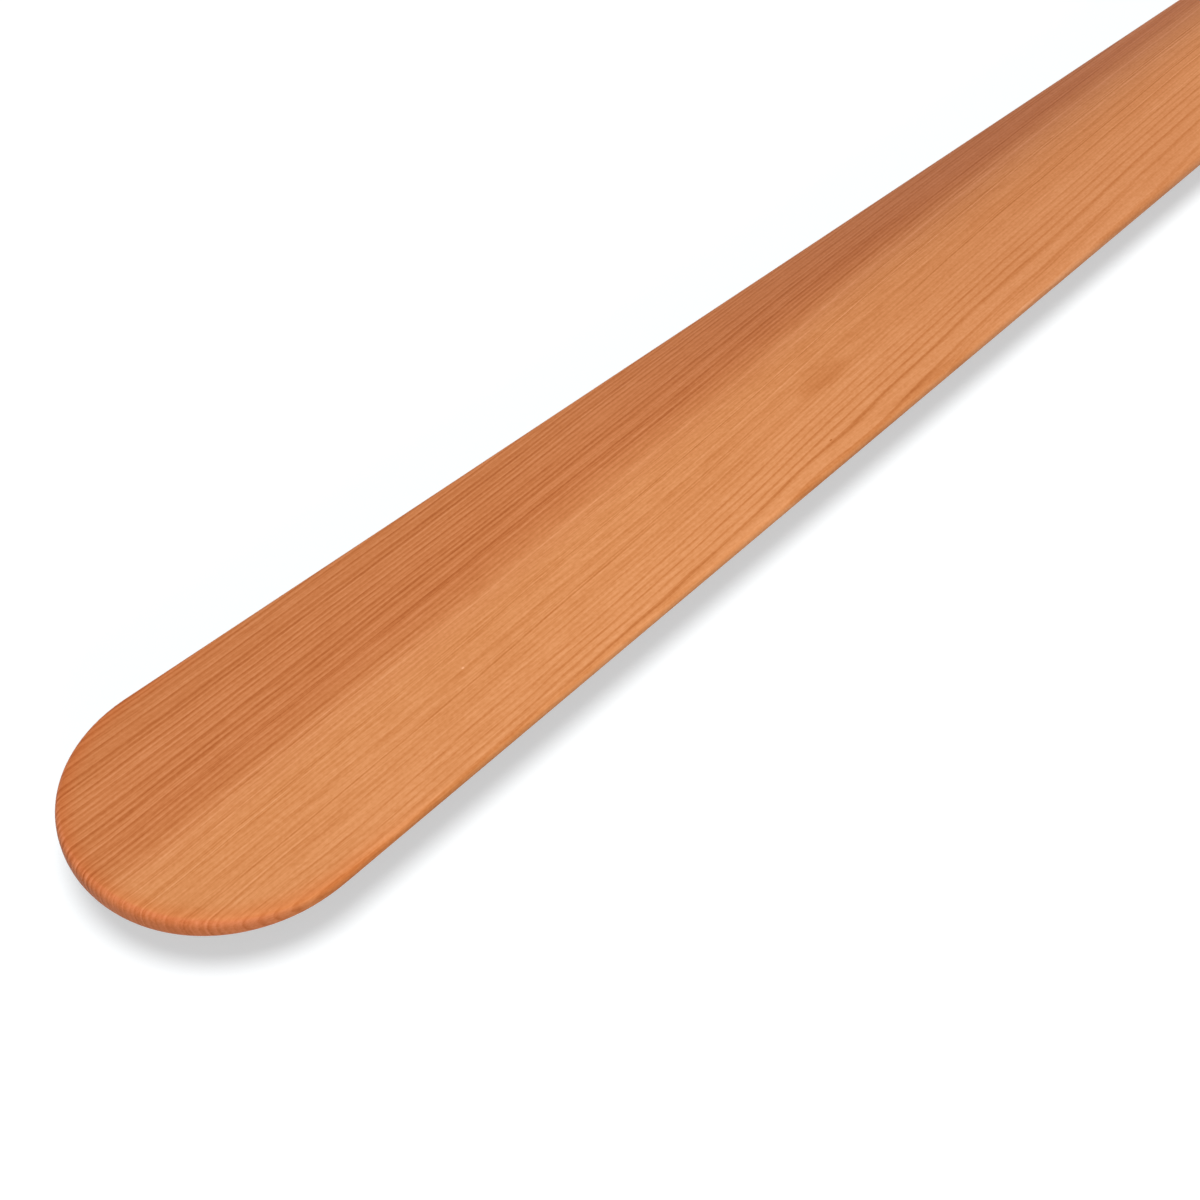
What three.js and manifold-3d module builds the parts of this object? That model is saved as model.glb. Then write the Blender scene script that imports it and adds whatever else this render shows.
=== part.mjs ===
// A greenland paddle in two halves, joined in the middle of its loom by a tube ferrule with a snap button.
// Millimetres. +X runs along the paddle, +Y across the blades and +Z up. The paddle lies on the plane z = 0,
// with the origin under the middle of its length.
import * as THREE from "three";
import { mergeVertices } from "three/addons/utils/BufferGeometryUtils.js";
import Module from "manifold-3d";

// Paddle
const bladeLength = 830;
const loomLength = 520;
const clearance = 0.3;

// Blade: its outline seen from above, then its thickness
const tipHalfWidth = 43.99;
const rootHalfWidth = 24.4;
const tipCurveLength = 47;
const tipCurvePower = 2.02;
const tipHalfThickness = 4.2;
const rootHalfThickness = 12.2;
const thicknessPower = 1.4;
const tipRimRadius = 4;
const edgeRadius = 1.6;
const rootEdgeRadius = 6.5;
const edgeSwellPower = 3;

// Loom: a rounded rectangle that grows out of the blade and turns round before the ferrule
const loomHalfWidth = 19;
const loomHalfHeight = 16;
const loomCornerRadius = 12;
const shoulderLength = 46;
const roundingLength = 70;
const roundLength = 4;

// Ferrule: an outer sleeve on the left half and a spigot on the right half
const tenonLength = 45;
const sleeveWall = 1.8;
const spigotWall = 1.5;
const spigotStandOff = 2.3;
const collarLength = 9.4;
const mouthChamfer = 0.5;
const plugLength = 10;

// Snap button: a strip folded to a V inside the spigot, with the button drawn out of its upper leg
const buttonRadius = 3.75;
const buttonRise = 1.3;
const buttonTopRadius = 1.6;
const holePlay = 0.25;
const stripThickness = 0.5;
const stripMargin = 0.25;
const padMargin = 2.75;
const foldRadius = 2.6;
const springLength = 46;
const springStandOff = 8.2;
const springEndRoom = 15.5;
const lowerLegShare = 0.86;

// Fineness of the curved surfaces
const sectionPoints = 36;
const sideFlatSteps = 1;
const topFlatSteps = 2;
const tipSteps = 10;
const bladeSteps = 11;
const shoulderSteps = 6;
const roundingSteps = 5;
const tubeSides = 48;
const smallSides = 24;
const filletSteps = 4;
const foldSteps = 6;

// Sizes and places worked out from those above
const halfLength = bladeLength + loomLength / 2;
const axisHeight = loomHalfHeight;
const jointRadius = loomHalfHeight;
const sleeveBore = jointRadius - sleeveWall;
const spigotRadius = sleeveBore - clearance;
const spigotBore = spigotRadius - spigotWall;
const stripWidth = 2 * (buttonRadius + stripMargin);
const padReach = buttonRadius + padMargin;
const springRoom = plugLength + springStandOff + springLength + springEndRoom;
const shoulderX = tenonLength + (spigotStandOff + springRoom) / 2;
const collarX = shoulderX - clearance - collarLength;
const tenonX = shoulderX - tenonLength;
const spigotEnd = spigotStandOff - tenonX;
const springX = spigotEnd + plugLength + springStandOff;
const buttonX = springX + padReach;
const roundX = shoulderX + roundLength;

const cedar = new THREE.MeshStandardMaterial({ color: 0xcf8551, roughness: 0.5, metalness: 0 });
const carbon = new THREE.MeshStandardMaterial({ color: 0x17181a, roughness: 0.3, metalness: 0 });
const springSteel = new THREE.MeshStandardMaterial({ color: 0xb9bcc0, roughness: 0.28, metalness: 1 });
const foam = new THREE.MeshStandardMaterial({ color: 0x2b2c2e, roughness: 0.95, metalness: 0 });

const wasm = await Module();
wasm.setup();

const { clamp, lerp, smoothstep } = THREE.MathUtils;

// The half width of the blade's straight taper at a distance from the tip
function taperHalfWidth(fromTip) {
  const slope = (tipHalfWidth - rootHalfWidth) / (bladeLength - tipCurveLength);
  return tipHalfWidth - slope * (fromTip - tipCurveLength);
}

// The share of the tip's curve that still lies ahead at a distance from the tip
function tipShare(fromTip) {
  return clamp(1 - fromTip / tipCurveLength, 0, 1);
}

// The blade's half width: the taper, rounded off at the tip by a superellipse
function bladeHalfWidth(fromTip) {
  return taperHalfWidth(fromTip) * (1 - tipShare(fromTip) ** tipCurvePower) ** (1 / tipCurvePower);
}

// How far a point of the blade lies inside its outline, seen from above
function depthInOutline(fromTip, across) {
  const reach = taperHalfWidth(fromTip);
  const alongShare = tipShare(fromTip);
  const acrossShare = Math.min(Math.abs(across) / reach, 1);
  const level = (alongShare ** tipCurvePower + acrossShare ** tipCurvePower) ** (1 / tipCurvePower);
  if (level === 0) return reach;
  const slopeAlong = (alongShare / level) ** (tipCurvePower - 1) / tipCurveLength;
  const slopeAcross = (acrossShare / level) ** (tipCurvePower - 1) / reach;
  return Math.max(1 - level, 0) / Math.hypot(slopeAlong, slopeAcross);
}

// The blade's half thickness: a lens whose rim is rounded, and meets the lens at a tangent
function bladeHalfThickness(fromTip, across) {
  const reach = taperHalfWidth(fromTip);
  const lengthShare = clamp(fromTip / bladeLength, 0, 1);
  const crown = lerp(tipHalfThickness, rootHalfThickness, lengthShare ** thicknessPower);
  const side = lerp(edgeRadius, rootEdgeRadius, lengthShare ** edgeSwellPower);
  const rim = lerp(side, tipRimRadius, tipShare(fromTip));
  const lensSlope = (2 * (crown - rim)) / (reach - rim);
  const turn = Math.atan(lensSlope);
  const rimDepth = rim * (1 - Math.sin(turn));
  const depth = depthInOutline(fromTip, across);
  if (depth < rimDepth) return Math.sqrt(rim ** 2 - (rim - depth) ** 2);
  const further = depth - rimDepth;
  return rim * Math.cos(turn) + lensSlope * further * (1 - further / (2 * (reach - rimDepth)));
}

// A half's three sections follow, each as the point at an angle round the paddle's axis
function bladePoint(fromTip, angle) {
  const across = bladeHalfWidth(fromTip) * Math.cos(angle);
  const face = Math.sign(Math.round(Math.sin(angle) * sectionPoints));
  return [across, face * bladeHalfThickness(fromTip, across)];
}

function loomPoint(angle) {
  const cosine = Math.cos(angle);
  const sine = Math.sin(angle);
  const turn = Math.atan2(Math.abs(sine), Math.abs(cosine)) / (Math.PI / 2);
  const quarterSteps = sectionPoints / 4;
  const sideShare = sideFlatSteps / quarterSteps;
  const topShare = 1 - topFlatSteps / quarterSteps;
  const sideReach = loomHalfHeight - loomCornerRadius;
  const topReach = loomHalfWidth - loomCornerRadius;
  const corner = clamp((turn - sideShare) / (topShare - sideShare), 0, 1) * (Math.PI / 2);
  const across = topReach * clamp((1 - turn) / (1 - topShare), 0, 1) + loomCornerRadius * Math.cos(corner);
  const up = sideReach * clamp(turn / sideShare, 0, 1) + loomCornerRadius * Math.sin(corner);
  return [Math.sign(cosine) * across, Math.sign(sine) * up];
}

function roundPoint(radius, angle) {
  return [radius * Math.cos(angle), radius * Math.sin(angle)];
}

function mixPoints(from, to, share) {
  return [lerp(from[0], to[0], share), lerp(from[1], to[1], share)];
}

function halfPoint(fromTip, angle) {
  const loomShare = smoothstep(fromTip, bladeLength, bladeLength + shoulderLength);
  const roundStart = halfLength - roundX;
  const roundShare = smoothstep(fromTip, roundStart - roundingLength, roundStart);
  if (loomShare === 0) return bladePoint(fromTip, angle);
  const grip = mixPoints(loomPoint(angle), roundPoint(jointRadius, angle), roundShare);
  return loomShare === 1 ? grip : mixPoints(bladePoint(fromTip, angle), grip, loomShare);
}

// Evenly spaced places, both ends included
function spread(start, end, steps) {
  return Array.from({ length: steps + 1 }, (_, step) => lerp(start, end, step / steps));
}

// Distances from the tip at which a half gets a section: close together where its shape turns
function sectionPlaces() {
  const tip = spread(0, Math.PI / 2, tipSteps).map((angle) => tipCurveLength * (1 - Math.cos(angle)));
  const blade = spread(tipCurveLength, bladeLength, bladeSteps);
  const shoulder = spread(bladeLength, bladeLength + shoulderLength, shoulderSteps);
  const roundStart = halfLength - roundX;
  const rounding = spread(roundStart - roundingLength, roundStart, roundingSteps);
  return [...tip.slice(1, -1), ...blade, ...shoulder.slice(1), ...rounding, halfLength - shoulderX];
}

// A closed body from rings of points, with a point at each end
function loft(rings, firstPoint, lastPoint) {
  const count = rings[0].length;
  const positions = [firstPoint, ...rings.flat(), lastPoint].flat();
  const last = positions.length / 3 - 1;
  const at = (ring, point) => 1 + ring * count + (point % count);
  const faces = [];
  for (let point = 0; point < count; point++) {
    faces.push(0, at(0, point + 1), at(0, point));
    faces.push(last, at(rings.length - 1, point), at(rings.length - 1, point + 1));
    for (let ring = 0; ring + 1 < rings.length; ring++) {
      faces.push(at(ring, point), at(ring, point + 1), at(ring + 1, point + 1));
      faces.push(at(ring, point), at(ring + 1, point + 1), at(ring + 1, point));
    }
  }
  const geometry = new THREE.BufferGeometry();
  geometry.setAttribute("position", new THREE.Float32BufferAttribute(positions, 3));
  geometry.setIndex(faces);
  return geometry;
}

// One half of the paddle, with its tip at -X and its tenon towards the ferrule
function halfPaddle(tenonRadius) {
  const angles = Array.from({ length: sectionPoints }, (_, point) => (2 * Math.PI * point) / sectionPoints);
  const ring = (x, pointAt) => angles.map((angle) => [x, ...pointAt(angle)]);
  const rings = sectionPlaces().map((place) => ring(place - halfLength, (angle) => halfPoint(place, angle)));
  rings.push(ring(-shoulderX, (angle) => roundPoint(tenonRadius, angle)));
  rings.push(ring(-tenonX - mouthChamfer, (angle) => roundPoint(tenonRadius, angle)));
  rings.push(ring(-tenonX, (angle) => roundPoint(tenonRadius - mouthChamfer, angle)));
  return loft(rings, [-halfLength, 0, 0], [-tenonX, 0, 0]);
}

// A turned body along X from a profile of [radius, place along X] points
function turned(profile, sides) {
  const points = profile.map(([radius, along]) => new THREE.Vector2(radius, along));
  return new THREE.LatheGeometry(points, sides).rotateZ(-Math.PI / 2);
}

function tube(bore, radius, start, end) {
  const profile = [
    [bore, start],
    [radius - mouthChamfer, start],
    [radius, start + mouthChamfer],
    [radius, end - mouthChamfer],
    [radius - mouthChamfer, end],
    [bore, end],
  ];
  return turned([...profile, profile[0]], tubeSides);
}

function disc(radius, start, end) {
  return turned([[0, start], [radius, start], [radius, end], [0, end]], tubeSides);
}

function solidOf(geometry) {
  const bare = geometry.clone();
  bare.deleteAttribute("normal");
  bare.deleteAttribute("uv");
  const merged = mergeVertices(bare);
  const vertProperties = new Float32Array(merged.attributes.position.array);
  const triVerts = new Uint32Array(merged.index.array);
  return new wasm.Manifold(new wasm.Mesh({ numProp: 3, vertProperties, triVerts }));
}

function geometryOf(solid) {
  const { vertProperties, triVerts } = solid.getMesh();
  const geometry = new THREE.BufferGeometry();
  geometry.setAttribute("position", new THREE.BufferAttribute(vertProperties, 3));
  geometry.setIndex(new THREE.BufferAttribute(triVerts, 1));
  return geometry;
}

// A body turned about the button's axis, which points out of the spigot towards -Y
function turnedAboutButton(profile) {
  const points = profile.map(([radius, out]) => new THREE.Vector2(radius, out));
  return new THREE.LatheGeometry(points, smallSides).rotateX(Math.PI).translate(buttonX, 0, 0);
}

// The hole that the button stands in, cut through a tube's near wall
function withButtonHole(geometry) {
  const radius = buttonRadius + holePlay;
  const hole = turnedAboutButton([[0, 0], [radius, 0], [radius, 2 * jointRadius], [0, 2 * jointRadius]]);
  return geometryOf(solidOf(geometry).subtract(solidOf(hole)));
}

// The outline of a strip of even thickness that follows a line of points
function stripOutline(line) {
  const sides = [[], []];
  line.forEach((point, index) => {
    const before = line[Math.max(index - 1, 0)];
    const after = line[Math.min(index + 1, line.length - 1)];
    const into = point.clone().sub(before).normalize();
    const onward = after.clone().sub(point).normalize();
    const way = into.clone().add(onward).normalize();
    const bend = Math.max(way.dot(into), way.dot(onward));
    const across = new THREE.Vector2(-way.y, way.x).multiplyScalar(stripThickness / 2 / bend);
    sides[0].push(point.clone().add(across));
    sides[1].unshift(point.clone().sub(across));
  });
  return new THREE.Shape([...sides[0], ...sides[1]]);
}

// The folded strip's middle line in the plane of X and the button's outward way
function springLine(padHeight) {
  const foldX = springX + springLength - foldRadius - stripThickness / 2;
  const fold = spread(Math.PI / 2, -Math.PI / 2, foldSteps).map((angle) => roundPoint(foldRadius, angle));
  return [
    new THREE.Vector2(springX, padHeight),
    new THREE.Vector2(buttonX + padReach, padHeight),
    ...fold.map(([along, out]) => new THREE.Vector2(foldX + along, out)),
    new THREE.Vector2(lerp(foldX, buttonX, lowerLegShare), -padHeight),
  ];
}

function snapButton() {
  const padTop = Math.sqrt((spigotBore - clearance) ** 2 - (stripWidth / 2) ** 2);
  const padBottom = padTop - stripThickness;
  const top = jointRadius + buttonRise;
  const outline = stripOutline(springLine(padTop - stripThickness / 2));
  const strip = new THREE.ExtrudeGeometry(outline, { depth: stripWidth, bevelEnabled: false });
  strip.translate(0, 0, -stripWidth / 2).rotateX(Math.PI);
  const drawn = (radius, height, foot) => {
    const round = spread(0, Math.PI / 2, filletSteps).map((angle) => roundPoint(buttonTopRadius, angle));
    const corner = round.map(([out, up]) => [radius - buttonTopRadius + out, height - buttonTopRadius + up]);
    return solidOf(turnedAboutButton([[0, foot], [radius, foot], ...corner, [0, height]]));
  };
  const button = drawn(buttonRadius, top, padBottom);
  const hollow = drawn(buttonRadius - stripThickness, top - stripThickness, padBottom - stripThickness);
  return geometryOf(solidOf(strip).add(button).subtract(hollow));
}

const paddle = new THREE.Group();

function place(name, geometry, material) {
  const mesh = new THREE.Mesh(geometry, material);
  mesh.name = name;
  mesh.position.z = axisHeight;
  paddle.add(mesh);
  return mesh;
}

const sleeve = tube(sleeveBore, jointRadius, clearance - shoulderX, collarX - clearance);
const spigot = tube(spigotBore, spigotRadius, spigotEnd, shoulderX - clearance);

place("left_half", halfPaddle(sleeveBore - clearance), cedar);
place("right_half", halfPaddle(spigotBore - clearance), cedar).rotation.z = Math.PI;
place("ferrule_sleeve", withButtonHole(sleeve), carbon);
place("ferrule_spigot", withButtonHole(spigot), carbon);
place("spigot_collar", tube(sleeveBore, jointRadius, collarX, shoulderX - clearance), carbon);
place("spigot_plug", disc(spigotBore - clearance, spigotEnd + clearance, spigotEnd + plugLength), foam);
place("snap_button", snapButton(), springSteel);

export default paddle;
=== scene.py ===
"""A greenland paddle in two halves of oiled red cedar, joined by a carbon ferrule, lying on a white table.

Each class below is one sub-assembly, one finish or one tool that they share. Lengths are in metres, and in
millimetres where a class says so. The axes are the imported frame's: +X along the paddle, +Y across the blades
and +Z up, with the photographed blade at -X.
"""
import logging
import math
from dataclasses import dataclass
from enum import Enum
from typing import Any, Callable, Iterable, Sequence

import bmesh
import bpy
from bpy.types import Material, Mesh, Node, NodeSocket, NodeTree, Object
from mathutils import Matrix, Vector


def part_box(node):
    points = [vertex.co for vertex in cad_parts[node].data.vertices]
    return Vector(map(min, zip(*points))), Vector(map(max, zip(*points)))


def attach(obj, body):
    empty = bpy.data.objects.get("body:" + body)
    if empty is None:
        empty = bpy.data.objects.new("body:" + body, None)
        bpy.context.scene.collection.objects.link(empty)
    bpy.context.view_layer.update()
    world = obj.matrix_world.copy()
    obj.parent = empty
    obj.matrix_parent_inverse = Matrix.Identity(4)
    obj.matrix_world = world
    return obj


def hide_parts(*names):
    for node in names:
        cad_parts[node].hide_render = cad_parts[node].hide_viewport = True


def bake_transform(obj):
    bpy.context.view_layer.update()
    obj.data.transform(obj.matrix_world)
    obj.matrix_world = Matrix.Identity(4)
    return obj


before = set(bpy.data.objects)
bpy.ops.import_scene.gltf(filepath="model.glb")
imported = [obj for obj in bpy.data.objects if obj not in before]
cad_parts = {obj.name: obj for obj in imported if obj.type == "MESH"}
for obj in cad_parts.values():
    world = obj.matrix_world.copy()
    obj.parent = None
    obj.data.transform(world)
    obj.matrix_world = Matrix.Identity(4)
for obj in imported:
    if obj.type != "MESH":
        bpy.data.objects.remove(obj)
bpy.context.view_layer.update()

MM = 0.001
WELD = 1e-7
log = logging.getLogger("paddle")

Span = tuple[float, float]
Colour = Point = tuple[float, float, float]


class Body(str, Enum):
    """The rigid bodies that the pieces ride on."""

    LEFT = "left"
    RIGHT = "right"
    BUTTON = "button"


class Slot(str, Enum):
    """The pieces' material slots."""

    CEDAR = "cedar"
    CARBON = "carbon"
    STEEL = "spring_steel"
    FOAM = "foam"


def joins(operation: str, swapped: bool = False) -> Callable[["Wire", "Number"], "Wire"]:
    """Return an operator's method: a Math node of the wire and another value, which is first if swapped."""
    def method(self: "Wire", other: "Number") -> "Wire":
        """Return the joined value."""
        return self.graph.math(operation, *((other, self) if swapped else (self, other)))
    return method


class Wire:
    """A socket that Python's operators join to others through Math nodes."""

    __add__, __radd__ = joins("ADD"), joins("ADD", True)
    __sub__, __rsub__ = joins("SUBTRACT"), joins("SUBTRACT", True)
    __mul__, __rmul__ = joins("MULTIPLY"), joins("MULTIPLY", True)
    __truediv__, __rtruediv__ = joins("DIVIDE"), joins("DIVIDE", True)
    __pow__ = joins("POWER")

    def __init__(self, graph: "Graph", socket: NodeSocket) -> None:
        """Keep the socket and the graph it belongs to."""
        self.graph = graph
        self.socket = socket

    def apply(self, operation: str, other: "Number" = 0.0) -> "Wire":
        """Return any other Math operation of this value, and of the other where it takes two."""
        return self.graph.math(operation, self, other)

    def between(self, low: float, high: float, smooth: bool = True) -> "Wire":
        """Return 0 before low, 1 past high and a share between, eased if smooth; low may be the greater."""
        kind = {"interpolation_type": "SMOOTHSTEP" if smooth else "LINEAR", "clamp": True}
        sockets = {"Value": self, "From Min": low, "From Max": high}
        if low > high:
            sockets = {"Value": self, "From Min": high, "From Max": low, "To Min": 1.0, "To Max": 0.0}
        return self.graph.wire("ShaderNodeMapRange", kind, sockets, "Result")


Number = Wire | float
Sizes = dict[str, Wire]


class Graph:
    """Builds the nodes of one material or geometry tree."""

    def __init__(self, tree: NodeTree) -> None:
        """Keep the tree."""
        self.tree = tree

    def node(self, kind: str, settings: dict[str, Any] | None = None,
             sockets: dict[str | int, Any] | None = None) -> Node:
        """Add a node with its properties, and then the values or links of its sockets, by name or number."""
        node = self.tree.nodes.new(kind)
        for name, value in (settings or {}).items():
            setattr(node, name, value)
        for key, value in (sockets or {}).items():
            self.feed(node.inputs[key], value)
        return node

    def feed(self, socket: NodeSocket, value: Any) -> None:
        """Link a wire or a socket to an input, or set its value."""
        if isinstance(value, Wire):
            value = value.socket
        if isinstance(value, NodeSocket):
            self.tree.links.new(value, socket)
        else:
            socket.default_value = value

    def wire(self, kind: str, settings: dict[str, Any] | None, sockets: dict[str | int, Any],
             output: str | int = 0) -> Wire:
        """Add a node and return one of its outputs as a wire."""
        return Wire(self, self.node(kind, settings, sockets).outputs[output])

    def math(self, operation: str, first: Number, second: Number = 0.0) -> Wire:
        """Add a Math node of two values and return its result."""
        return self.wire("ShaderNodeMath", {"operation": operation}, {0: first, 1: second})

    def vector(self, x: Number, y: Number, z: Number) -> NodeSocket:
        """Join three values into a vector socket."""
        return self.node("ShaderNodeCombineXYZ", None, {0: x, 1: y, 2: z}).outputs[0]

    def split(self, vector: NodeSocket) -> tuple[Wire, ...]:
        """Split a vector into its three parts."""
        parts = self.node("ShaderNodeSeparateXYZ", None, {0: vector}).outputs
        return tuple(Wire(self, part) for part in parts)

    def background_rays(self) -> Wire:
        """Return 1 for the camera's rays, also by way of glossy or clear pieces, and 0 for all others."""
        path = self.node("ShaderNodeLightPath")
        seen = Wire(self, path.outputs["Is Camera Ray"])
        for other in ("Is Glossy Ray", "Is Transmission Ray"):
            seen = seen.apply("MAXIMUM", Wire(self, path.outputs[other]))
        return seen


class Shader(Graph):
    """A material's graph, with the nodes that the finishes share."""

    def __init__(self, name: str) -> None:
        """Start an empty material."""
        self.material = bpy.data.materials.new(name)
        self.material.use_nodes = True
        self.material.node_tree.nodes.clear()
        super().__init__(self.material.node_tree)

    def place(self) -> tuple[Wire, ...]:
        """Return the point's X, Y and Z on the object, in millimetres."""
        return tuple(part / MM for part in self.split(self.node("ShaderNodeTexCoord").outputs["Object"]))

    def noise(self, x: Number, y: Number, z: Number, detail: float = 2.0, roughness: float = 0.5) -> Wire:
        """Return smooth noise about 0, within about 0.5 either way, with unit size along each value."""
        sockets = {"Vector": self.vector(x, y, z), "Scale": 1.0, "Detail": detail, "Roughness": roughness}
        return self.wire("ShaderNodeTexNoise", {"noise_dimensions": "3D"}, sockets, 0) - 0.5

    def random(self, value: Number) -> Wire:
        """Return a random share for each whole number."""
        return self.wire("ShaderNodeTexWhiteNoise", {"noise_dimensions": "1D"}, {"W": value}, 0)

    def mix(self, share: Number, first: Any, second: Any, blend: str = "MIX") -> NodeSocket:
        """Mix two colours, sockets or three numbers each, with the given share of the second."""
        first, second = (c if isinstance(c, NodeSocket) else (*c, 1.0) for c in (first, second))
        settings = {"data_type": "RGBA", "blend_type": blend, "clamp_factor": True}
        return self.node("ShaderNodeMix", settings, {0: share, 6: first, 7: second}).outputs[2]

    def tinted(self, colour: Any, tint: Any) -> NodeSocket:
        """Multiply a colour by another."""
        return self.mix(1.0, colour, tint, "MULTIPLY")

    def bump(self, height: Wire, distance: float) -> NodeSocket:
        """Turn a height from 0 to 1 into a normal, with the full height as a length in metres."""
        sockets = {"Strength": 1.0, "Distance": distance, "Height": height}
        return self.node("ShaderNodeBump", None, sockets).outputs[0]

    def finish(self, sockets: dict[str, Any]) -> Material:
        """Close the material with one Principled shader, from the values or links of its inputs."""
        shader = self.node("ShaderNodeBsdfPrincipled", None, sockets)
        self.node("ShaderNodeOutputMaterial", None, {"Surface": shader.outputs[0]})
        return self.material


@dataclass(frozen=True)
class Mark:
    """A small mark in the wood: its place, its size, and how much lighter it is, or darker if negative."""

    along: float
    across: float
    length: float
    width: float
    light: float


@dataclass(frozen=True)
class Pattern:
    """Noise stretched along the grain: its lengths along and across the grain, and how much of it shows."""

    along: float
    across: float
    share: float
    detail: float = 2.0
    roughness: float = 0.5
    slice: float = 0.0

    def noise(self, s: Shader, far: Wire, across: Wire, third: Number) -> Wire:
        """Return the pattern's noise at a place along and across the grain, and a third number."""
        return s.noise(far / self.along, across / self.across, third, self.detail, self.roughness)


@dataclass(frozen=True)
class Stripe:
    """A stripe that runs the plank's whole length: where it starts, is full, starts to fade, and ends."""

    start: float
    full: float
    fading: float
    end: float
    light: float

    def light_at(self, place: Wire) -> Wire:
        """Return how much lighter the stripe makes a place among the rings."""
        return place.between(self.start, self.full) * place.between(self.end, self.fading) * self.light


@dataclass(frozen=True)
class Cedar:
    """Straight-grained red cedar with an oiled, satin surface. Lengths are in millimetres.

    The growth rings are wide cylinders round a pith line beside the plank and a little above it, so one law
    gives the lines of both faces and the stripes that wrap down the tip's rim. The rings are even and strong
    on the far side, fine and faint in the middle, and wide and wavy at the near edge. Each span is the pair
    of values between which something comes up from nothing to its full share.
    """

    name: str
    flip: float
    half_length: float
    axis_height: float
    seed: float
    marks: tuple[Mark, ...]
    half_width: float = 44.0
    tip_length: float = 47.0

    pith_across: float = -95.0
    pith_up: float = 20.0
    bow: float = 31.0
    bow_wave: float = 1454.0
    bow_start: float = -93.5
    bow_crest: float = -8.0
    bow_loss: float = 0.3
    sway: Pattern = Pattern(150, 40, 3.2, 1.0)
    ripple: Pattern = Pattern(40, 9, 0.8, 1.0)
    waves: Pattern = Pattern(55, 14, 4.0, 1.0)
    waves_span: Span = (-20, -38)

    rings_per_mm: float = 0.52
    first_ring: int = 200
    middle_rings: float = 5.5
    middle_at: float = -20.0
    middle_spread: float = 22.0
    edge_rings: float = -2.0
    edge_at: float = -45.0
    edge_spread: float = 6.0
    uneven: Pattern = Pattern(900, 5.0, 1.5, 3.0)
    even_rise: Span = (0.15, 0.72)
    even_fall: Span = (1.0, 0.84)
    thin_rise: Span = (0.45, 0.84)
    thin_fall: Span = (1.0, 0.90)
    thin_depth: float = 1.3
    thin_span: Span = (-26, -36)
    weakest_ring: float = 0.35
    fade: Pattern = Pattern(90, 1.8, 1.3, slice=3.0)
    early_draw: float = 40.5

    threads: Pattern = Pattern(140, 2.0, 0.16, 1.0, slice=31)
    thread_width: float = 0.42
    thread_draw: float = 0.25
    thread_chance: float = 0.14
    thread_span: Span = (-0.10, 0.15)

    least_strength: float = 0.36
    middle_strength: float = 0.16
    middle_span: Span = (-19, -3)
    far_strength: float = 0.44
    far_span: Span = (-4, 8)
    near_strength: float = 0.29
    near_span: Span = (-24, -38)
    near_along: Span = (60, 260)
    root_along: Span = (150, 420)
    root_loss: float = 0.35
    end_gain: float = 0.45
    end_facing: Span = (0.10, 0.5)
    calm_span: Span = (-16, -28)
    calm_along: Span = (120, 280)
    calm_streak: float = 0.65
    calm_fibre: float = 0.12

    late_dark: float = 0.27
    late_mean: float = 0.08
    early_light: float = 0.09
    streak: Pattern = Pattern(260, 0.8, 0.25, 2.0, 0.65)
    wide: Pattern = Pattern(420, 6.0, 0.10, slice=7)
    fibre: Pattern = Pattern(13.0, 0.55, 0.37, 2.0, 0.65)
    mottle: Pattern = Pattern(1.2, 0.9, 0.19, 1.0)
    cloud: Pattern = Pattern(60, 18, 0.10)
    glint: Stripe = Stripe(-8.5, -7.8, -7.5, -6.9, 0.11)
    pair: Stripe = Stripe(-22.6, -22.0, -21.2, -20.6, -0.07)
    darkest: float = 0.3

    golden: Colour = (0.718, 0.281, 0.098)
    red: Colour = (0.622, 0.208, 0.066)
    red_span: Span = (-15, 4)
    red_sway: float = 6.0
    # the end grain's own colour, which also carries a painted sheen on the tip's rim
    end_grain: Colour = (0.700, 0.208, 0.072)
    # painted shade: the tip's rim and the edges beside it are tinted darker and redder
    oiled_rim: Colour = (0.97, 0.81, 0.68)
    rim_inside: Span = (0.14, 0.0)
    rim_along: Span = (90, 40)
    # painted shade: the wood darkens towards the root, as the light falls off along the blade
    painted_root_falloff: Colour = (0.88, 0.86, 0.89)
    # painted shade with a bluish painted sheen: the far side grows darker and bluer towards the root, where
    # its face slopes away from the light
    painted_far_shade: Colour = (0.83, 0.82, 0.90)
    painted_far_shade_across: Span = (-4, 26)
    green_fall: float = 1.75
    blue_fall: float = 3.0

    relief: float = 0.03
    roughness: float = 0.55
    fibre_roughness: float = 0.2
    refraction: float = 1.45
    specular: float = 0.16

    def _ring_place(self, s: Shader, far: Wire, along: Wire, across: Wire, up: Wire) -> Wire:
        """Return how far out among the rings a point lies, which is about its place across the face."""
        aside = (across - self.bow_crest) / self.half_width
        turn = (along - self.bow_start) * (2 * math.pi / self.bow_wave)
        drift = (1.0 - turn.apply("COSINE")) * (self.bow / 2) * (1.0 - aside * aside * self.bow_loss)
        sway, ripple, waves = (pattern.noise(s, far, across, up / pattern.across)
                               for pattern in (self.sway, self.ripple, self.waves))
        ring_y = (across - drift - self.pith_across + sway * self.sway.share + ripple * self.ripple.share
                  + waves * across.between(*self.waves_span) * self.waves.share)
        ring_z = up - self.pith_up
        return (ring_y * ring_y + ring_z * ring_z).apply("SQRT") + self.pith_across

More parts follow.
